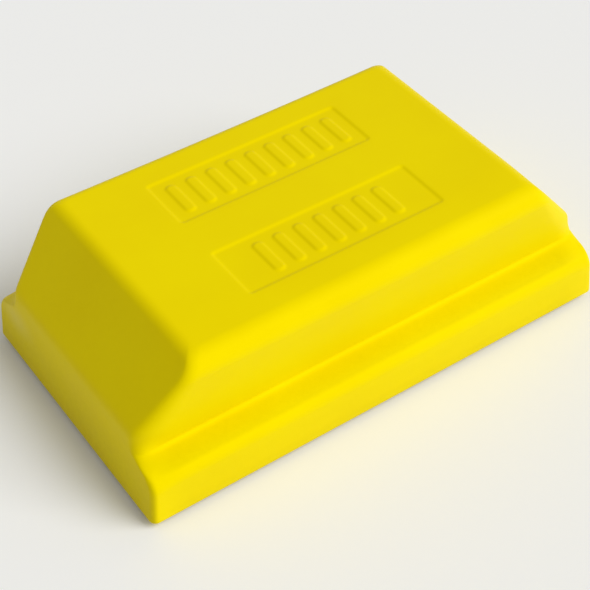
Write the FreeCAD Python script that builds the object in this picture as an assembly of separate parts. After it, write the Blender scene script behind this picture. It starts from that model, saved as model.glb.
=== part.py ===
import FreeCAD, Part
import math
import os

os.makedirs("parts", exist_ok=True)

# A hand block for working on floors and tiles: a moulded soft-plastic grip with a hook-faced sole.
# Millimetres. +X runs along the length, +Y across the width, +Z up from the working face.
# The origin is the middle of the working face, so the block stands on Z = 0.

# Outline of the block seen from above.
block_length = 130.0
block_width = 75.0

# Levels of the moulded grip, measured up from its own underside.
flange_height = 12.9
crease_height = 14.95
end_band_height = 19.6
grip_height = 38.2

# A long side, from the bottom up: the flange leans in, the ledge steps in to the crease, and the
# grip's side leans out again, so that fingers have a hold under the top edge.
flange_draft = 0.4
ledge_run = 7.0
grip_flare = 3.5

# An end, from the bottom up: the band leans in, and the slope above it leads in to the top.
end_band_draft = 2.0
end_slope_run = 15.2

# Rounding of the moulding.
shoulder_radius = 5.0
crease_radius = 1.2
side_top_radius = 4.2
end_band_radius = 6.0
end_top_radius = 4.6
corner_radius = 3.0

# Two shallow panels sunk in the top, each with a row of raised grip bars.
panel_depth = 0.4
panel_length = 54.0
panel_width = 16.0
panel_gap = 12.9
panel_middle_x = -0.2
panel_middle_y = 0.7
panel_corner_radius = 0.8
back_bar_count = 9
front_bar_count = 7
bar_width = 2.6
bar_end_gap = 2.6
bar_row_gap = 3.3
bar_corner_radius = 1.2
bar_drop = 0.05

# The sole, from the grip downwards. It stops short of the grip's edge all round.
film_thickness = 0.2
backing_thickness = 0.5
hook_height = 1.0
sole_inset = 1.5
sole_corner_radius = 1.5

# The longer row of bars reaches to its gap at each end of the panel, and the other has the same pitch.
bar_pitch = (panel_length - 2 * bar_row_gap - bar_width) / (back_bar_count - 1)

sole_thickness = film_thickness + backing_thickness + hook_height
grip_top = sole_thickness + grip_height


def tangent_arc(before, corner, after, radius):
    # The round that joins two straight runs: where it starts, its middle point and where it ends.
    to_before = (before - corner).normalize()
    to_after = (after - corner).normalize()
    half_angle = to_before.getAngle(to_after) / 2
    reach = radius / math.tan(half_angle)
    sagitta = radius / math.sin(half_angle) - radius
    bisector = (to_before + to_after).normalize()
    return corner + to_before * reach, corner + bisector * sagitta, corner + to_after * reach


def rounded_face(corners, radii):
    # A flat face with straight sides, each corner rounded by its own radius, or sharp where that is 0.
    count = len(corners)
    rounds = []
    for index in range(count):
        here = corners[index]
        if radii[index] > 0:
            rounds.append(tangent_arc(corners[index - 1], here, corners[(index + 1) % count], radii[index]))
        else:
            rounds.append((here, None, here))
    edges = []
    for index in range(count):
        start, middle, end = rounds[index]
        if middle is not None:
            edges.append(Part.Arc(start, middle, end).toShape())
        edges.append(Part.LineSegment(end, rounds[(index + 1) % count][0]).toShape())
    return Part.Face(Part.Wire(edges))


def symmetric_face(half_outline, place):
    # half_outline is a list of (distance from the middle, height, radius), from the bottom up.
    whole = [(place(out, up), radius) for out, up, radius in half_outline]
    whole += [(place(-out, up), radius) for out, up, radius in reversed(half_outline)]
    return rounded_face([corner for corner, radius in whole], [radius for corner, radius in whole])


def side_outline():
    # Seen from an end: the flange, the ledge above it, the crease and the side that flares to the top.
    out = block_width / 2
    levels = [(out, sole_thickness, 0)]
    out -= flange_draft
    levels.append((out, sole_thickness + flange_height, shoulder_radius))
    out -= ledge_run
    levels.append((out, sole_thickness + crease_height, crease_radius))
    out += grip_flare
    levels.append((out, grip_top, side_top_radius))
    return levels


def end_outline():
    # Seen from a long side: the end band and the slope that leads from it up to the top.
    out = block_length / 2
    levels = [(out, sole_thickness, 0)]
    out -= end_band_draft
    levels.append((out, sole_thickness + end_band_height, end_band_radius))
    out -= end_slope_run
    levels.append((out, grip_top, end_top_radius))
    return levels


def is_corner_edge(edge):
    # True for the edges that climb where a long side meets an end.
    box = edge.BoundBox
    return box.ZLength > 0.001 and box.XLength < 2 * end_slope_run and box.YLength < 2 * ledge_run


def slab(length, width, radius, bottom, thickness, middle_x=0.0, middle_y=0.0):
    # A flat plate with rounded corners.
    half_length = length / 2
    half_width = width / 2
    signs = [(-1, -1), (1, -1), (1, 1), (-1, 1)]
    corners = []
    for sign_x, sign_y in signs:
        x = middle_x + sign_x * half_length
        y = middle_y + sign_y * half_width
        corners.append(FreeCAD.Vector(x, y, bottom))
    return rounded_face(corners, [radius] * 4).extrude(FreeCAD.Vector(0, 0, thickness))


def sink_panel(block, middle_y, bar_count):
    # Cuts one panel into the top and stands its row of bars on the panel's floor.
    floor = grip_top - panel_depth
    cut_depth = 2 * panel_depth
    radius = panel_corner_radius
    hollow = slab(panel_length, panel_width, radius, floor, cut_depth, panel_middle_x, middle_y)
    block = block.cut(hollow)
    bar_length = panel_width - 2 * bar_end_gap
    bar_root = floor - panel_depth
    bar_rise = 2 * panel_depth - bar_drop
    for index in range(bar_count):
        bar_x = panel_middle_x + (index - (bar_count - 1) / 2) * bar_pitch
        bar = slab(bar_width, bar_length, bar_corner_radius, bar_root, bar_rise, bar_x, middle_y)
        block = block.fuse(bar)
    return block


def make_grip_block():
    # The two outlines are carried right through each other, and what they share is the block.
    side_face = symmetric_face(side_outline(), lambda out, up: FreeCAD.Vector(-block_length, out, up))
    end_face = symmetric_face(end_outline(), lambda out, up: FreeCAD.Vector(out, -block_width, up))
    sides = side_face.extrude(FreeCAD.Vector(2 * block_length, 0, 0))
    ends = end_face.extrude(FreeCAD.Vector(0, 2 * block_width, 0))
    block = sides.common(ends)
    block = block.makeFillet(corner_radius, [edge for edge in block.Edges if is_corner_edge(edge)])
    panel_offset = (panel_width + panel_gap) / 2
    block = sink_panel(block, panel_middle_y + panel_offset, back_bar_count)
    return sink_panel(block, panel_middle_y - panel_offset, front_bar_count)


def make_sole_layer(bottom, thickness):
    length = block_length - 2 * sole_inset
    width = block_width - 2 * sole_inset
    return slab(length, width, sole_corner_radius, bottom, thickness)


nodes = {
    "grip_block": make_grip_block(),
    "adhesive_film": make_sole_layer(hook_height + backing_thickness, film_thickness),
    "hook_backing": make_sole_layer(hook_height, backing_thickness),
    "hook_pile": make_sole_layer(0.0, hook_height),
}

for node, shape in nodes.items():
    shape.exportStep("parts/" + node + ".step")
    print(node, len(shape.Solids), "solid,", round(shape.Volume), "mm3, valid:", shape.isValid())
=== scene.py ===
import math
import bpy
import numpy as np
from mathutils import Matrix, Vector


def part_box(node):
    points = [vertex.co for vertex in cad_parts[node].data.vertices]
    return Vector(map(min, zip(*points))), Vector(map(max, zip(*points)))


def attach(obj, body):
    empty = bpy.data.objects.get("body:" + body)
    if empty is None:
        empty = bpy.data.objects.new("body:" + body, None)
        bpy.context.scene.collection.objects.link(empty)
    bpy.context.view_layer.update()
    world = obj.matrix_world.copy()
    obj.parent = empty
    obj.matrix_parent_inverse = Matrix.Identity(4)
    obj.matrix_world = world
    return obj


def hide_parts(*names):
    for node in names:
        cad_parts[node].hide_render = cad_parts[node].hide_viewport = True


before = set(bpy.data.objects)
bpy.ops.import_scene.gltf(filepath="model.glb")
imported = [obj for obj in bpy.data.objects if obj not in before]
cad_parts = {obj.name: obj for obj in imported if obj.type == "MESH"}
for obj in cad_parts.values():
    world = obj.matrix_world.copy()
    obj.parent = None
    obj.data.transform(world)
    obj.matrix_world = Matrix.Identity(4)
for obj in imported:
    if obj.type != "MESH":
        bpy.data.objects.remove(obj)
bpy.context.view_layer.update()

mm = 0.001
gripLow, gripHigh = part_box("grip_block")
pileLow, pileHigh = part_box("hook_pile")

# lens and sensor in mm, angles in degrees, aim and distance in mm from the middle of the working face
cameraSetup = {
    "lens": 91.5, "sensor": 36.0, "azimuth": -33.51, "elevation": 43.77, "roll": -1.50,
    "aim": (-6.3, -7.9, 16.7), "distance": 361.5, "nearest": 10.0,
}


def makeCamera(setup):
    # stands at its distance from the aim, by azimuth and elevation; its side is level but for the roll
    azimuth = math.radians(setup["azimuth"])
    elevation = math.radians(setup["elevation"])
    roll = math.radians(setup["roll"])
    back = Vector((
        math.sin(azimuth) * math.cos(elevation),
        -math.cos(azimuth) * math.cos(elevation),
        math.sin(elevation),
    ))
    side = Vector((0, 0, 1)).cross(back).normalized()
    up = back.cross(side)
    turnedSide = side * math.cos(roll) + up * math.sin(roll)
    turnedUp = up * math.cos(roll) - side * math.sin(roll)
    place = (Vector(setup["aim"]) + back * setup["distance"]) * mm
    turn = Matrix((turnedSide, turnedUp, back)).transposed().to_4x4()
    data = bpy.data.cameras.new("camera")
    data.lens = setup["lens"]
    data.sensor_width = setup["sensor"]
    data.clip_start = setup["nearest"] * mm
    camera = bpy.data.objects.new("camera", data)
    camera.matrix_world = Matrix.Translation(place) @ turn
    bpy.context.scene.collection.objects.link(camera)
    bpy.context.scene.camera = camera


makeCamera(cameraSetup)
print("camera is in place")


def makePiece(name, points, quads, others=()):
    # points are places in mm, quads an array of corner numbers, and others a list of faces of another size
    mesh = bpy.data.meshes.new(name)
    mesh.from_pydata((np.asarray(points) * mm).tolist(), [], np.asarray(quads).tolist() + list(others))
    mesh.update()
    mesh.polygons.foreach_set("use_smooth", np.ones(len(mesh.polygons), dtype=bool))
    piece = bpy.data.objects.new(name, mesh)
    bpy.context.scene.collection.objects.link(piece)
    return piece


def easeStep(value):
    # rises from 0 to 1 with level ends, as 3v^2 - 2v^3
    v = np.clip(value, 0, 1)
    return v * v * (3 - 2 * v)


# the moulded grip, all in mm; heights are measured up from the grip's own underside
# a corner is its reach along the length and across the width; the top falls in front of fallStart
gripShape = {
    "flangeHeight": 12.9, "creaseHeight": 14.95, "bandHeight": 19.6,
    "flangeDraft": 0.4, "ledgeRun": 7.0, "flare": 3.5, "bandDraft": 2.0, "slopeRun": 15.2,
    "footRound": 0.3, "shoulderRound": 5.0, "creaseRound": 0.8, "frontTopRound": 5.0,
    "backTopRound": 3.5, "bandRound": 5.0, "endTopRound": 4.6,
    "topDish": 0.3, "fallStart": 17.0, "frontFall": 0.3,
    "flangeCorner": (1.7, 1.7), "gripCorner": (8.0, 4.0), "topCorner": (2.2, 1.5),
}
# what the finger ledge turns into at the ends, in mm: its outer edge falls away and its crease softens
# fadeStart and fadeEnd are distances from the end
ledgeEnd = {
    "flangeHeight": 11.3, "creaseHeight": 15.2, "shoulderRound": 5.0, "creaseRound": 5.8,
    "fadeStart": 7.5, "fadeEnd": 0.8,
}
# the panels sunk in the top and the bars that stand in them, in mm; wall and barWall are how wide the soft
# edges of a panel and of a bar are
panelShape = {
    "length": 54.0, "width": 16.0, "gap": 12.9, "middleX": -0.2, "middleY": 0.7, "depth": 0.31,
    "corner": 0.8, "wall": 1.1, "barWidth": 2.6, "barEndGap": 2.6, "barPitch": 5.6, "barCorner": 1.2,
    "barWall": 0.9, "backBars": 9, "frontBars": 7,
}
# how fine the mesh is: spacing of the top's grid in mm, away from the panels and over them, and the loops
# down the sides as first and last height in mm from the heights that bound them, and how many
# topReach is how far below the front top round the uppermost loops begin
gripMesh = {
    "coarse": 1.3, "fine": 0.34, "panelMargin": 0.7, "cornerTurns": 5, "arcSteps": 160, "footLoops": 4,
    "wall": (1.2, -4.8, 5), "shoulder": (-4.2, -0.9, 18), "crease": (-0.7, 1.5, 12),
    "band": (1.9, 5.0, 12), "slope": (6.0, -0.9, 5), "topReach": 0.5, "topLoops": 17,
}
flatRun = 40.0  # mm that an outline's flat first and last runs reach in; only their direction counts


def roundedLine(corners, radii, steps):
    # a line through the corners, where each inner corner is an arc that is tangent to both its runs
    line = [np.array(corners[0], float)]
    for before, corner, after, radius in zip(corners, corners[1:], corners[2:], radii):
        corner = np.array(corner, float)
        toBefore = np.array(before) - corner
        toAfter = np.array(after) - corner
        toBefore /= np.linalg.norm(toBefore)
        toAfter /= np.linalg.norm(toAfter)
        half = math.acos(np.dot(toBefore, toAfter)) / 2
        middle = (toBefore + toAfter) / np.linalg.norm(toBefore + toAfter)
        centre = corner + middle * radius / math.sin(half)
        start = corner + toBefore * radius / math.tan(half) - centre
        across = np.array([-start[1], start[0]])
        sweep = math.copysign(math.pi - 2 * half, -np.dot(across, toBefore))
        angles = np.linspace(0, sweep, steps)[:, None]
        line.extend(centre + np.cos(angles) * start + np.sin(angles) * across)
    line.append(np.array(corners[-1], float))
    return np.array(line)


def sideOutline(shape, ledge, side, height, topRound):
    # a long side from the bottom up, as distance from the middle and height
    # ledge gives the heights and rounds of its ledge; a higher crease lies on the same flared wall
    flange = side - shape["flangeDraft"]
    risen = (ledge["creaseHeight"] - shape["creaseHeight"]) / (height - shape["creaseHeight"])
    crease = flange - shape["ledgeRun"] + shape["flare"] * risen
    corners = [
        (side - flatRun, 0), (side, 0), (flange, ledge["flangeHeight"]), (crease, ledge["creaseHeight"]),
        (flange - shape["ledgeRun"] + shape["flare"], height), (side - flatRun, height),
    ]
    rounds = [shape["footRound"], ledge["shoulderRound"], ledge["creaseRound"], topRound]
    return roundedLine(corners, rounds, gripMesh["arcSteps"])[1:-1]


def endOutline(shape, end, height):
    # an end from the bottom up, in the same way: the band leans in, and the slope leads in to the top
    corners = [
        (end - flatRun, 0), (end, 0), (end - shape["bandDraft"], shape["bandHeight"]),
        (end - shape["bandDraft"] - shape["slopeRun"], height), (end - flatRun, height),
    ]
    rounds = [shape["footRound"], shape["bandRound"], shape["endTopRound"]]
    return roundedLine(corners, rounds, gripMesh["arcSteps"])[1:-1]


def gripLevels(shape, height):
    # the heights of the loops from the top down, close together where an outline turns; in the rounds of the
    # foot and the top they follow equal angles of the arc
    def spread(name, low, high):
        first, last, count = gripMesh[name]
        return np.linspace(low + first, high + last, count)

    flange, crease, band = shape["flangeHeight"], shape["creaseHeight"], shape["bandHeight"]
    foot = shape["footRound"] * (1 - np.cos(np.linspace(0, np.pi / 2, gripMesh["footLoops"])))
    topReach = shape["frontTopRound"] + gripMesh["topReach"]
    top = height - topReach * (1 - np.sin(np.linspace(0, np.pi / 2, gripMesh["topLoops"])))
    return np.concatenate([
        foot, spread("wall", 0, flange), spread("shoulder", flange, crease),
        spread("crease", crease, crease), spread("band", crease, band),
        spread("slope", band, height - shape["frontTopRound"]), top])[::-1]


def stations(low, high, coarse, fine, zones):
    # places from low to high: fine steps inside the zones and coarse ones outside them
    edges = sorted({low, high, *[min(max(v, low), high) for zone in zones for v in zone]})
    places = [low]
    for start, end in zip(edges, edges[1:]):
        middle = (start + end) / 2
        inside = any(zone[0] < middle < zone[1] for zone in zones)
        count = max(1, int(math.ceil((end - start) / (fine if inside else coarse))))
        places.extend(np.linspace(start, end, count + 1)[1:])
    return np.array(places)


def boxDistance(x, y, middleX, middleY, halfLength, halfWidth, corner):
    # distance out of a rounded rectangle, negative inside it
    dx = np.abs(x - middleX) - (halfLength - corner)
    dy = np.abs(y - middleY) - (halfWidth - corner)
    outside = np.hypot(np.maximum(dx, 0), np.maximum(dy, 0))
    return outside + np.minimum(np.maximum(dx, dy), 0) - corner


def panelRelief(x, y, shape):
    # how high the top stands over its own plane: each panel is sunk with soft walls, and its bars rise again
    relief = np.zeros_like(x)
    offset = (shape["width"] + shape["gap"]) / 2
    for side, count in ((1, shape["backBars"]), (-1, shape["frontBars"])):
        middleY = shape["middleY"] + side * offset
        hollow = boxDistance(
            x, y, shape["middleX"], middleY, shape["length"] / 2, shape["width"] / 2, shape["corner"])
        relief -= shape["depth"] * easeStep(0.5 - hollow / shape["wall"])
        halfBar = shape["width"] / 2 - shape["barEndGap"]
        for index in range(count):
            barX = shape["middleX"] + (index - (count - 1) / 2) * shape["barPitch"]
            bar = boxDistance(x, y, barX, middleY, shape["barWidth"] / 2, halfBar, shape["barCorner"])
            relief += shape["depth"] * easeStep(0.5 - bar / shape["barWall"])
    return relief


def cornerReach(shape, levels, height):
    # the corner's reach along and across at each level: small on the flange, largest over the crease and
    # less again at the top, changing evenly between them
    overFlange = (levels - shape["flangeHeight"]) / (shape["creaseHeight"] - shape["flangeHeight"])
    overBand = (levels - shape["bandHeight"]) / (height - shape["bandHeight"])
    overFlange, overBand = np.clip(overFlange, 0, 1), np.clip(overBand, 0, 1)
    reaches = zip(shape["flangeCorner"], shape["gripCorner"], shape["topCorner"])
    return [
        low + (middle + (high - middle) * overBand - low) * overFlange for low, middle, high in reaches]


def quarterDisc(u, v):
    # bends a corner's block of squares into a quarter disc: the larger of u and v is the distance from its
    # inner corner, and the angle grows evenly along each square ring; straight blocks stay as they are
    au, av = np.abs(u), np.abs(v)
    far = np.maximum(au, av)
    safeFar = np.where(far > 0, far, 1)
    angle = np.where(au >= av, np.pi / 4 * av / safeFar, np.pi / 2 - np.pi / 4 * au / safeFar)
    inCorner = (au > 0) & (av > 0)
    bentX = np.where(inCorner, far * np.cos(angle), au) * np.sign(u)
    bentY = np.where(inCorner, far * np.sin(angle), av) * np.sign(v)
    return bentX, bentY


def topGrid(columns, rows, reachX, reachY, turns):
    # places of the top's grid: straight columns and rows, and turns more of each bent round the corners
    share = np.arange(turns + 1) / turns
    lines = (columns, rows)
    shareX, shareY = (np.concatenate([-share[:0:-1], np.zeros(len(line)), share[1:]]) for line in lines)
    baseX, baseY = (
        np.concatenate([np.full(turns, line[0]), line, np.full(turns, line[-1])]) for line in lines)
    bentX, bentY = quarterDisc(*np.meshgrid(shareX, shareY, indexing="ij"))
    return baseX[:, None] + reachX * bentX, baseY[None, :] + reachY * bentY


def rimRuns(alongX, alongY, turns):
    # the rim's eight runs, anticlockwise from the left end of the front: the share of the half length, the
    # share of the way from front to back, and the direction along and across that the corner's reach points
    arc = np.linspace(0, np.pi / 2, 2 * turns + 1)[1:-1]
    sin, cos = np.sin(arc), np.cos(arc)
    runs = [
        (alongX, 0, 0, -1), (1, 0, sin, -cos), (1, alongY, 1, 0), (1, 1, cos, sin),
        (alongX[::-1], 1, 0, 1), (-1, 1, -sin, cos), (-1, alongY[::-1], -1, 0), (-1, 0, -cos, -sin),
    ]
    return np.concatenate([np.array(np.broadcast_arrays(*run), float) for run in runs], axis=1)


def makeGrip():
    # a grid over the top, then rounded rectangles down the sides, whose half sizes are read off the
    # outlines at their own heights, and one flat face underneath
    shape = gripShape
    length = (gripHigh.x - gripLow.x) / mm
    width = 2 * gripHigh.y / mm
    bottom = gripLow.z / mm
    height = (gripHigh.z - gripLow.z) / mm
    levels = gripLevels(shape, height)

    def widthAt(ledge, topRound):
        line = sideOutline(shape, ledge, width / 2, height, topRound)
        return np.interp(levels, line[:, 1], line[:, 0])

    # half widths of the front and the back in their middle, and what the ledge's end adds to them
    frontWidth = widthAt(shape, shape["frontTopRound"])
    backWidth = widthAt(shape, shape["backTopRound"])
    softened = widthAt(ledgeEnd, shape["frontTopRound"]) - frontWidth
    endLine = endOutline(shape, length / 2, height)
    halfLength = np.interp(levels, endLine[:, 1], endLine[:, 0])
    cornerX, cornerY = cornerReach(shape, levels, height)

    # columns along the length and rows across the width, between the corner rounds of the top
    straightX = halfLength[0] - cornerX[0]
    frontY = cornerY[0] - frontWidth[0]
    backY = backWidth[0] - cornerY[0]
    reachX = panelShape["length"] / 2 + gripMesh["panelMargin"]
    reachY = panelShape["width"] / 2 + gripMesh["panelMargin"]
    zoneX = (panelShape["middleX"] - reachX, panelShape["middleX"] + reachX)
    panelOffset = (panelShape["width"] + panelShape["gap"]) / 2
    panelMiddles = [panelShape["middleY"] - panelOffset, panelShape["middleY"] + panelOffset]
    zonesY = [(middle - reachY, middle + reachY) for middle in panelMiddles]
    columns = stations(-straightX, straightX, gripMesh["coarse"], gripMesh["fine"], [zoneX])
    rows = stations(frontY, backY, gripMesh["coarse"], gripMesh["fine"], zonesY)

    turns = gripMesh["cornerTurns"]
    topX, topY = topGrid(columns, rows, cornerX[0], cornerY[0], turns)
    topZ = height + panelRelief(topX, topY, panelShape)
    topPoints = np.stack([topX, topY, topZ], 2).reshape(-1, 3)
    number = np.arange(topX.size).reshape(topX.shape)
    topQuads = np.stack([number[:-1, :-1], number[1:, :-1], number[1:, 1:], number[:-1, 1:]], 2)

    # the rim of the grid, anticlockwise from the left end of the front side
    rim = np.concatenate([
        number[turns:, 0], number[-1, 1:], number[-2::-1, -1], number[0, -2::-1], number[1:turns, 0]])

    # each lower level repeats the rim with its own half sizes and corner
    alongX, alongY = columns / straightX, (rows - frontY) / (backY - frontY)
    signX, backShare, roundX, roundY = rimRuns(alongX, alongY, turns)
    turnedX, turnedY = cornerX[1:, None], cornerY[1:, None]
    loopX = (halfLength[1:, None] - turnedX) * signX + turnedX * roundX
    fromEnd = halfLength[1:, None] - np.abs(loopX)
    softness = easeStep((ledgeEnd["fadeStart"] - fromEnd) / (ledgeEnd["fadeStart"] - ledgeEnd["fadeEnd"]))
    inFront = turnedY - frontWidth[1:, None] - softened[1:, None] * softness
    atBack = backWidth[1:, None] + softened[1:, None] * softness - turnedY
    loopY = inFront + (atBack - inFront) * backShare + turnedY * roundY
    loops = np.stack([loopX, loopY, np.repeat(levels[1:, None], len(rim), 1)], 2)
    lower = topX.size + np.arange(loopX.size).reshape(loopX.shape)
    loopNumber = np.vstack([rim, lower])
    after = np.roll(loopNumber, -1, 1)
    sideQuads = np.stack([loopNumber[1:], after[1:], after[:-1], loopNumber[:-1]], 2)

    # the moulding has sunk a little in the middle of its top, and the top falls a little to its front edge
    points = np.concatenate([topPoints, loops.reshape(-1, 3)])
    rise = easeStep((points[:, 2] - shape["creaseHeight"]) / (height - shape["creaseHeight"]))
    along = np.clip(np.abs(points[:, 0]) / halfLength[0], 0, 1)
    points[:, 2] -= shape["topDish"] * rise * (1 - along ** 2)
    toFront = np.clip((-points[:, 1] - shape["fallStart"]) / (frontWidth[0] - shape["fallStart"]), 0, 1)
    points[:, 2] -= shape["frontFall"] * rise * toFront ** 2
    points[:, 2] += bottom

    quads = np.concatenate([topQuads.reshape(-1, 4), sideQuads.reshape(-1, 4)])
    piece = makePiece("grip", points, quads, [loopNumber[-1, ::-1].tolist()])
    piece.data.polygons[-1].use_smooth = False  # the underside
    return piece


grip = makeGrip()
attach(grip, "root")
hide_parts("grip_block")
print("grip has", len(grip.data.polygons), "faces")


# the hooks of the sole, in mm; each hook is a bent nylon thread with a round back and a short returning tip
# shares are parts of the thread's run, bendTurn is in half circles, and turnSpread is in radians
hookShape = {
    "pitchX": 2.1, "pitchY": 1.5, "thread": 0.22, "bend": 0.33, "edge": 0.6, "tipRoom": 0.4,
    "stemShare": 0.2, "bendShare": 0.75, "bendTurn": 1.15, "tipShare": 0.9, "tipThickness": 0.6,
    "turnSpread": 0.35, "steps": 7, "sides": 3, "seed": 7,
}


def makeHooks():
    # one thread's surface is rings of a few points round its middle line, and it is repeated at every root,
    # turned by its own angle about the root; every second row faces the other way
    shape = hookShape
    low, high = pileLow / mm, pileHigh / mm
    thick = shape["thread"] / 2
    slack = 0.01  # mm, so that a last row exactly at the edge is counted
    xs = np.arange(low.x + shape["edge"] + shape["tipRoom"], high.x - shape["edge"], shape["pitchX"])
    ys = np.arange(low.y + shape["edge"], high.y - shape["edge"] + slack, shape["pitchY"])
    xs += (low.x + high.x - xs[0] - xs[-1]) / 2
    ys += (low.y + high.y - ys[0] - ys[-1]) / 2
    rootX, rootY = np.meshgrid(xs, ys, indexing="ij")
    evenRow = np.broadcast_to(np.arange(len(ys)) % 2 == 0, rootX.shape)
    rootX = rootX + np.where(evenRow, 0.0, shape["pitchX"] / 4)
    facing = np.where(evenRow, 1.0, -1.0)
    rng = np.random.default_rng(shape["seed"])
    turn = rng.uniform(-shape["turnSpread"], shape["turnSpread"], rootX.shape)
    rootX, rootY, facing, turn = (a.ravel() for a in (rootX, rootY, facing, turn))

    # the thread's middle line: down a straight stem, half round a circle, and a short way up again
    bend = shape["bend"]
    depth = high.z - low.z
    stem = depth - bend - thick
    t = np.linspace(0, 1, shape["steps"])
    stemShare = shape["stemShare"]
    turned = np.clip((t - stemShare) / shape["bendShare"], 0, 1) * shape["bendTurn"] * np.pi
    out = bend * (1 - np.cos(turned))
    down = np.where(t < stemShare, stem * t / stemShare, stem + bend * np.sin(turned))
    lineOut = np.gradient(out)
    lineDown = np.gradient(down)
    size = np.hypot(lineOut, lineDown)
    normalOut, normalDown = -lineDown / size, lineOut / size
    ring = np.arange(shape["sides"]) * 2 * np.pi / shape["sides"]
    radius = (thick * np.where(t > shape["tipShare"], shape["tipThickness"], 1.0))[:, None]
    shapeOut = out[:, None] + radius * np.cos(ring) * normalOut[:, None]
    shapeDown = np.clip(down[:, None] + radius * np.cos(ring) * normalDown[:, None], 0, depth)
    shapeSide = radius * np.sin(ring) + 0 * out[:, None]

    cosTurn, sinTurn = (np.cos(turn) * facing)[:, None, None], (np.sin(turn) * facing)[:, None, None]
    x = rootX[:, None, None] + cosTurn * shapeOut - sinTurn * shapeSide
    y = rootY[:, None, None] + sinTurn * shapeOut + cosTurn * shapeSide
    z = high.z - shapeDown + 0 * x
    points = np.stack([x, y, z], 3).reshape(-1, 3)

    sides = shape["sides"]
    number = np.arange(shape["steps"] * sides).reshape(-1, sides)
    after = np.roll(number, -1, 1)
    walls = np.stack([number[:-1], after[:-1], after[1:], number[1:]], 2).reshape(-1, 4)
    starts = np.arange(len(rootX)) * shape["steps"] * sides
    quads = (walls[None] + starts[:, None, None]).reshape(-1, 4)
    tips = (number[-1][::-1][None] + starts[:, None]).tolist()
    roots = (number[0][None] + starts[:, None]).tolist()
    return makePiece("hooks", points, quads, tips + roots)


hooks = makeHooks()
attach(hooks, "root")
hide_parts("hook_pile")
print("hooks have", len(hooks.data.polygons), "faces")


def linearColour(hexText):
    # sRGB hex to linear, with alpha 1
    parts = [int(hexText[i:i + 2], 16) / 255 for i in (1, 3, 5)]
    return tuple(p / 12.92 if p <= 0.04045 else ((p + 0.055) / 1.055) ** 2.4 for p in parts) + (1.0,)


def addNode(tree, kind, settings=None, links=None, stops=()):
    # settings are attributes or input values, links are {input: output socket}, stops are (place, colour)
    node = tree.nodes.new(kind)
    for name, value in (settings or {}).items():
        if isinstance(name, str) and hasattr(node, name):
            setattr(node, name, value)
        else:
            node.inputs[name].default_value = value
    for name, socket in (links or {}).items():
        tree.links.new(socket, node.inputs[name])
    for index, (place, colour) in enumerate(stops):
        if index > 1:
            node.color_ramp.elements.new(place)
        node.color_ramp.elements[index].position = place
        node.color_ramp.elements[index].color = colour
    return node


def newMaterial(name, settings):
    # settings go on the shader's own sockets
    material = bpy.data.materials.new(name)
    material.use_nodes = True
    shader = material.node_tree.nodes["Principled BSDF"]
    for key, value in settings.items():
        shader.inputs[key].default_value = value
    return material, material.node_tree, shader


noiseSpan = {"From Min": 0.3, "From Max": 0.7}  # nearly all of a noise's values lie between these
mixA, mixB, mixOut = 6, 7, 2  # a Mix node's colour sockets

# satin skin of moulded polyurethane: strongly coloured all through, with a soft broad sheen, a fine
# orange-peel from the mould and slightly duller patches where hands have worn it. Painted shade darkens the
# finger ledges, the foot of the long sides and the end at -X, most at its foot, in uneven specks, and one
# spot on that end has a painted pale reflection. Sizes and reliefs in mm; the dark olive is the painted
# shade's colour, the shade ramps are (height over the ground, share of painted shade), and ledgeFade is
# distances from the middle; endFacing is how much of a face's normal points to -X where that end begins and
# is whole
gripLook = {
    "yellow": "#f5df00", "deepYellow": "#f2da00", "patchSize": 34.0, "patchStops": (0.32, 0.62),
    "roughness": 0.40, "roughnessSpread": (-0.05, 0.08), "sheen": 0.07, "sheenTint": "#ffdc00",
    "peelSize": 0.9, "peelRelief": 0.03, "grainSize": 0.28, "grainRelief": 0.02,
    "paintedShade": "#8f7d00", "paintedShadeTop": 40.0, "ledgeFade": (61.5, 55.0), "endFacing": (0.25, 0.7),
    "sidePaintedShade": (
        (1.7, 0.15), (5.0, 0.08), (11.0, 0.04), (13.8, 0.0), (14.6, 0.17), (16.2, 0.15), (16.55, 0.0)),
    "endPaintedShade": ((1.7, 0.32), (5.0, 0.29), (10.0, 0.24), (16.0, 0.16), (24.0, 0.10), (39.0, 0.10)),
    "speckSize": 1.6, "speckStrength": 0.12,
    "paintedReflection": "#f4ecbe", "spotAt": (-64.0, 28.0, 13.6), "spotStretch": (0.4, 0.5, 1.0), "spotSize": 6.0,
    "spotShare": 0.12,
}


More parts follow.
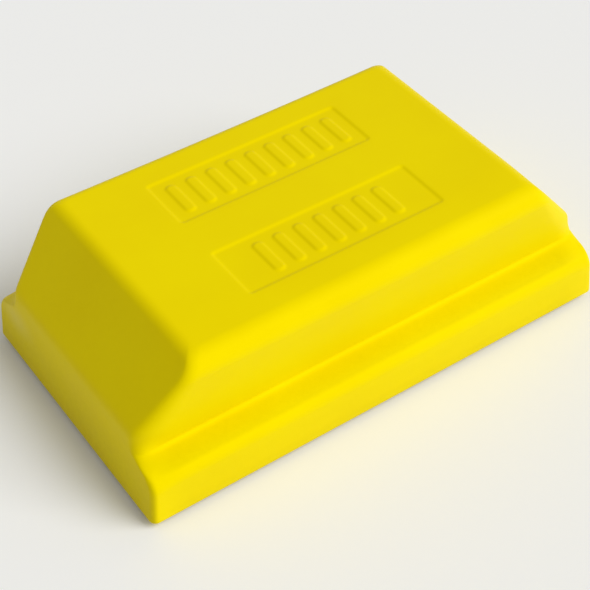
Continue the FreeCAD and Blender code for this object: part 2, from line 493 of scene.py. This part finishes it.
def mouldedPolyurethane(look):
    material, tree, shader = newMaterial("mouldedPolyurethane", {
        "IOR": 1.45, "Specular IOR Level": look["sheen"], "Specular Tint": linearColour(look["sheenTint"]),
    })
    coords = addNode(tree, "ShaderNodeTexCoord")
    place = coords.outputs["Object"]
    patches = addNode(tree, "ShaderNodeTexNoise", {
        "Scale": 1 / (look["patchSize"] * mm), "Detail": 4.0, "Roughness": 0.55,
    }, {"Vector": place})
    tone = addNode(tree, "ShaderNodeValToRGB", None, {"Fac": patches.outputs["Fac"]}, [
        (look["patchStops"][0], linearColour(look["deepYellow"])),
        (look["patchStops"][1], linearColour(look["yellow"])),
    ])

    # painted shade by height, one ramp for the long sides and one for the end at -X
    parts = addNode(tree, "ShaderNodeSeparateXYZ", None, {"Vector": place})
    climb = addNode(tree, "ShaderNodeMapRange", {"From Max": look["paintedShadeTop"] * mm}, {
        "Value": parts.outputs["Z"]})
    sidePaintedShade, endPaintedShade = (
        addNode(tree, "ShaderNodeValToRGB", None, {"Fac": climb.outputs["Result"]}, [
            (level / look["paintedShadeTop"], (amount, amount, amount, 1)) for level, amount in stops])
        for stops in (look["sidePaintedShade"], look["endPaintedShade"]))
    # the painted shade in the ledge stops short of the corners, where the crease runs out
    along = addNode(tree, "ShaderNodeMath", {"operation": "ABSOLUTE"}, {0: parts.outputs["X"]})
    inLedge = addNode(tree, "ShaderNodeMapRange", {
        "From Min": look["ledgeFade"][0] * mm, "From Max": look["ledgeFade"][1] * mm,
    }, {"Value": along.outputs[0]})
    onSide = addNode(tree, "ShaderNodeMath", {"operation": "MULTIPLY"}, {
        0: sidePaintedShade.outputs["Color"], 1: inLedge.outputs["Result"]})
    # the end's painted shade goes where the surface faces -X
    facing = addNode(tree, "ShaderNodeSeparateXYZ", None, {"Vector": coords.outputs["Normal"]})
    endFacing = addNode(tree, "ShaderNodeMath", {"operation": "MULTIPLY", 1: -1.0}, {
        0: facing.outputs["X"]})
    atEnd = addNode(tree, "ShaderNodeMapRange", {
        "From Min": look["endFacing"][0], "From Max": look["endFacing"][1],
    }, {"Value": endFacing.outputs[0]})
    paintedShade = addNode(tree, "ShaderNodeMix", None, {
        "Factor": atEnd.outputs["Result"], "A": onSide.outputs[0], "B": endPaintedShade.outputs["Color"]})
    specks = addNode(tree, "ShaderNodeTexNoise", {
        "Scale": 1 / (look["speckSize"] * mm), "Detail": 4.0, "Roughness": 0.65,
    }, {"Vector": place})
    uneven = addNode(tree, "ShaderNodeMapRange", {
        **noiseSpan, "To Min": 1 - look["speckStrength"], "To Max": 1 + look["speckStrength"],
    }, {"Value": specks.outputs["Fac"]})
    speckled = addNode(tree, "ShaderNodeMath", {"operation": "MULTIPLY"}, {
        0: paintedShade.outputs[0], 1: uneven.outputs["Result"]})
    # the painted shade darkens the yellow towards a dark olive
    withPaintedShade = addNode(tree, "ShaderNodeMix", {"data_type": "RGBA", mixB: linearColour(look["paintedShade"])}, {
        0: speckled.outputs[0], mixA: tone.outputs["Color"]})

    # one pale spot of painted reflection low on the same end, an ellipsoid that is longest across the width
    fromSpot = addNode(tree, "ShaderNodeVectorMath", {
        "operation": "SUBTRACT", 1: [v * mm for v in look["spotAt"]]}, {0: place})
    stretched = addNode(tree, "ShaderNodeVectorMath", {"operation": "MULTIPLY", 1: look["spotStretch"]}, {
        0: fromSpot.outputs["Vector"]})
    away = addNode(tree, "ShaderNodeVectorMath", {"operation": "LENGTH"}, {0: stretched.outputs["Vector"]})
    spot = addNode(tree, "ShaderNodeMapRange", {
        "interpolation_type": "SMOOTHSTEP", "From Min": look["spotSize"] * mm, "From Max": 0.0,
        "To Max": look["spotShare"],
    }, {"Value": away.outputs["Value"]})
    # the painted reflection lightens the spot towards a pale cream
    paintedReflection = addNode(tree, "ShaderNodeMix", {"data_type": "RGBA", mixB: linearColour(look["paintedReflection"])}, {
        0: spot.outputs["Result"], mixA: withPaintedShade.outputs[mixOut]})
    tree.links.new(paintedReflection.outputs[mixOut], shader.inputs["Base Color"])

    # the patches are also a little duller or glossier
    rough = addNode(tree, "ShaderNodeMapRange", {
        **noiseSpan, "To Min": look["roughness"] + look["roughnessSpread"][0],
        "To Max": look["roughness"] + look["roughnessSpread"][1],
    }, {"Value": patches.outputs["Fac"]})
    tree.links.new(rough.outputs["Result"], shader.inputs["Roughness"])
    peel = addNode(tree, "ShaderNodeTexNoise", {
        "Scale": 1 / (look["peelSize"] * mm), "Detail": 2.0, "Roughness": 0.5,
    }, {"Vector": place})
    grain = addNode(tree, "ShaderNodeTexNoise", {
        "Scale": 1 / (look["grainSize"] * mm), "Detail": 3.0, "Roughness": 0.6,
    }, {"Vector": place})
    peelBump = addNode(tree, "ShaderNodeBump", {"Strength": 0.25, "Distance": look["peelRelief"] * mm}, {
        "Height": peel.outputs["Fac"]})
    grainBump = addNode(tree, "ShaderNodeBump", {"Strength": 0.3, "Distance": look["grainRelief"] * mm}, {
        "Height": grain.outputs["Fac"], "Normal": peelBump.outputs["Normal"]})
    tree.links.new(grainBump.outputs["Normal"], shader.inputs["Normal"])
    return material


# black nylon thread, drawn and heat-set: a narrow soft shine on each hook, and shades that vary a little
# every few mm
hookLook = {"dark": "#141414", "light": "#2b2b29", "shadeSize": 3.0, "roughness": 0.38}


def drawnNylon(look):
    material, tree, shader = newMaterial("drawnNylon", {"IOR": 1.53, "Roughness": look["roughness"]})
    place = addNode(tree, "ShaderNodeTexCoord").outputs["Object"]
    shade = addNode(tree, "ShaderNodeTexNoise", {
        "Scale": 1 / (look["shadeSize"] * mm), "Detail": 2.0}, {"Vector": place})
    tone = addNode(tree, "ShaderNodeValToRGB", None, {"Fac": shade.outputs["Fac"]}, [
        (0.0, linearColour(look["dark"])), (1.0, linearColour(look["light"]))])
    tree.links.new(tone.outputs["Color"], shader.inputs["Base Color"])
    return material


# woven black nylon tape: dull, with a square weave of threads threadWidth mm wide
tapeLook = {"dark": "#0f0f0f", "light": "#262524", "threadWidth": 0.45, "relief": 0.1, "roughness": 0.8}


def wovenNylon(look):
    # the weave is a sine across the length times a sine across the width
    material, tree, shader = newMaterial("wovenNylon", {"IOR": 1.53, "Roughness": look["roughness"]})
    place = addNode(tree, "ShaderNodeTexCoord").outputs["Object"]
    scale = math.pi / (look["threadWidth"] * mm)
    parts = addNode(tree, "ShaderNodeSeparateXYZ", None, {"Vector": place})
    waves = []
    for axis in ("X", "Y"):
        turns = addNode(tree, "ShaderNodeMath", {"operation": "MULTIPLY", 1: scale}, {
            0: parts.outputs[axis]})
        waves.append(addNode(tree, "ShaderNodeMath", {"operation": "SINE"}, {0: turns.outputs[0]}))
    weave = addNode(tree, "ShaderNodeMath", {"operation": "MULTIPLY"}, {
        0: waves[0].outputs[0], 1: waves[1].outputs[0]})
    shade = addNode(tree, "ShaderNodeMapRange", {"From Min": -1.0, "From Max": 1.0}, {
        "Value": weave.outputs[0]})
    tone = addNode(tree, "ShaderNodeValToRGB", None, {"Fac": shade.outputs["Result"]}, [
        (0.0, linearColour(look["dark"])), (1.0, linearColour(look["light"]))])
    tree.links.new(tone.outputs["Color"], shader.inputs["Base Color"])
    bump = addNode(tree, "ShaderNodeBump", {"Strength": 0.8, "Distance": look["relief"] * mm}, {
        "Height": weave.outputs[0]})
    tree.links.new(bump.outputs["Normal"], shader.inputs["Normal"])
    return material


# a pressed film of acrylic adhesive: cloudy, yellowish and a little shiny at its edge
filmLook = {"dark": "#6d6540", "light": "#9a9064", "cloudSize": 1.6, "relief": 0.05, "roughness": 0.3}


def acrylicAdhesive(look):
    material, tree, shader = newMaterial("acrylicAdhesive", {"IOR": 1.47, "Roughness": look["roughness"]})
    place = addNode(tree, "ShaderNodeTexCoord").outputs["Object"]
    cloud = addNode(tree, "ShaderNodeTexNoise", {
        "Scale": 1 / (look["cloudSize"] * mm), "Detail": 3.0}, {"Vector": place})
    tone = addNode(tree, "ShaderNodeValToRGB", None, {"Fac": cloud.outputs["Fac"]}, [
        (0.0, linearColour(look["dark"])), (1.0, linearColour(look["light"]))])
    tree.links.new(tone.outputs["Color"], shader.inputs["Base Color"])
    bump = addNode(tree, "ShaderNodeBump", {"Strength": 0.4, "Distance": look["relief"] * mm}, {
        "Height": cloud.outputs["Fac"]})
    tree.links.new(bump.outputs["Normal"], shader.inputs["Normal"])
    return material


def paint(piece, material):
    piece.data.materials.clear()
    piece.data.materials.append(material)


paint(grip, mouldedPolyurethane(gripLook))
paint(hooks, drawnNylon(hookLook))
paint(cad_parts["hook_backing"], wovenNylon(tapeLook))
paint(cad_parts["adhesive_film"], acrylicAdhesive(filmLook))
print("materials are on")


# the floor and the light; floorSize in m, keyAngle in degrees; keyFrom points from the object to the lamp
stageSetup = {
    "floorSize": 6.0, "floorColour": "#f9f9f7", "floorRoughness": 0.9, "floorSheen": 0.1,
    "skyStrength": 0.41, "keyStrength": 2.22, "keyAngle": 42.0, "keyFrom": (0.31, -0.393, 0.44),
}


def makeStage(setup):
    # a square floor in the plane that the block stands on, an even white sky and one broad soft lamp
    half = setup["floorSize"] / 2
    corners = [(-half, -half, 0), (half, -half, 0), (half, half, 0), (-half, half, 0)]
    mesh = bpy.data.meshes.new("floor")
    mesh.from_pydata(corners, [], [(0, 1, 2, 3)])
    floor = bpy.data.objects.new("floor", mesh)
    bpy.context.scene.collection.objects.link(floor)
    paint(floor, newMaterial("paleFloor", {
        "Base Color": linearColour(setup["floorColour"]), "Roughness": setup["floorRoughness"],
        "Specular IOR Level": setup["floorSheen"],
    })[0])
    world = bpy.data.worlds.new("studio")
    world.use_nodes = True
    sky = world.node_tree.nodes["Background"]
    sky.inputs["Color"].default_value = (1, 1, 1, 1)
    sky.inputs["Strength"].default_value = setup["skyStrength"]
    bpy.context.scene.world = world
    key = bpy.data.lights.new("key", "SUN")
    key.energy = setup["keyStrength"]
    key.angle = math.radians(setup["keyAngle"])
    lamp = bpy.data.objects.new("key", key)
    lamp.rotation_euler = Vector(setup["keyFrom"]).to_track_quat("Z", "Y").to_euler()
    bpy.context.scene.collection.objects.link(lamp)
    bpy.context.scene.view_settings.view_transform = "Standard"


makeStage(stageSetup)
print("stage is ready")
